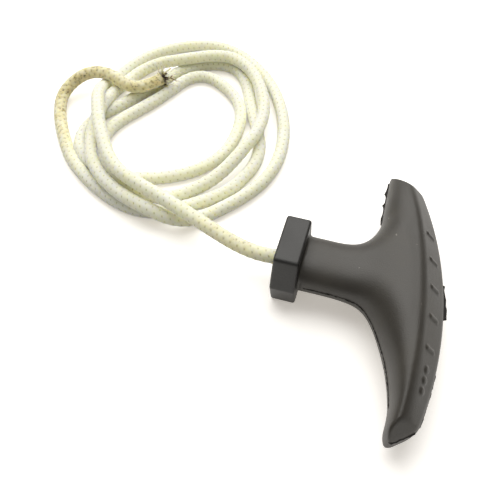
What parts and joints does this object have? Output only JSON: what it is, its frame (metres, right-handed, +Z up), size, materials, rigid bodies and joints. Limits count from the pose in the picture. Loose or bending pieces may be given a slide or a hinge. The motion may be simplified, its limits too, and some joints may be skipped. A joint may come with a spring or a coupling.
{
  "type": "starter rope",
  "caption": "Moulded T-shaped pull handle with a block collar, on a loosely coiled length of white braided starter rope with a dirty, frayed free end.",
  "frame": {"origin": "on the ground, under the middle of the pull handle's bounding box as it lies on its flat side", "axes": "+X from the collar towards the back of the crossbar, +Y along the crossbar, +Z up through the thickness of the handle"},
  "size_m": [0.1472, 0.1699, 0.0207],
  "materials": {
    "handle_plastic": "satin black moulded plastic",
    "rope": "off-white braided cord, dirty towards its free end"
  },
  "bodies": {
    "root": {"pull_handle": "handle_plastic", "rope_knot": "rope", "rope_lead": "rope", "rope_coil": "rope", "rope_tail": "rope"}
  },
  "joints": []
}
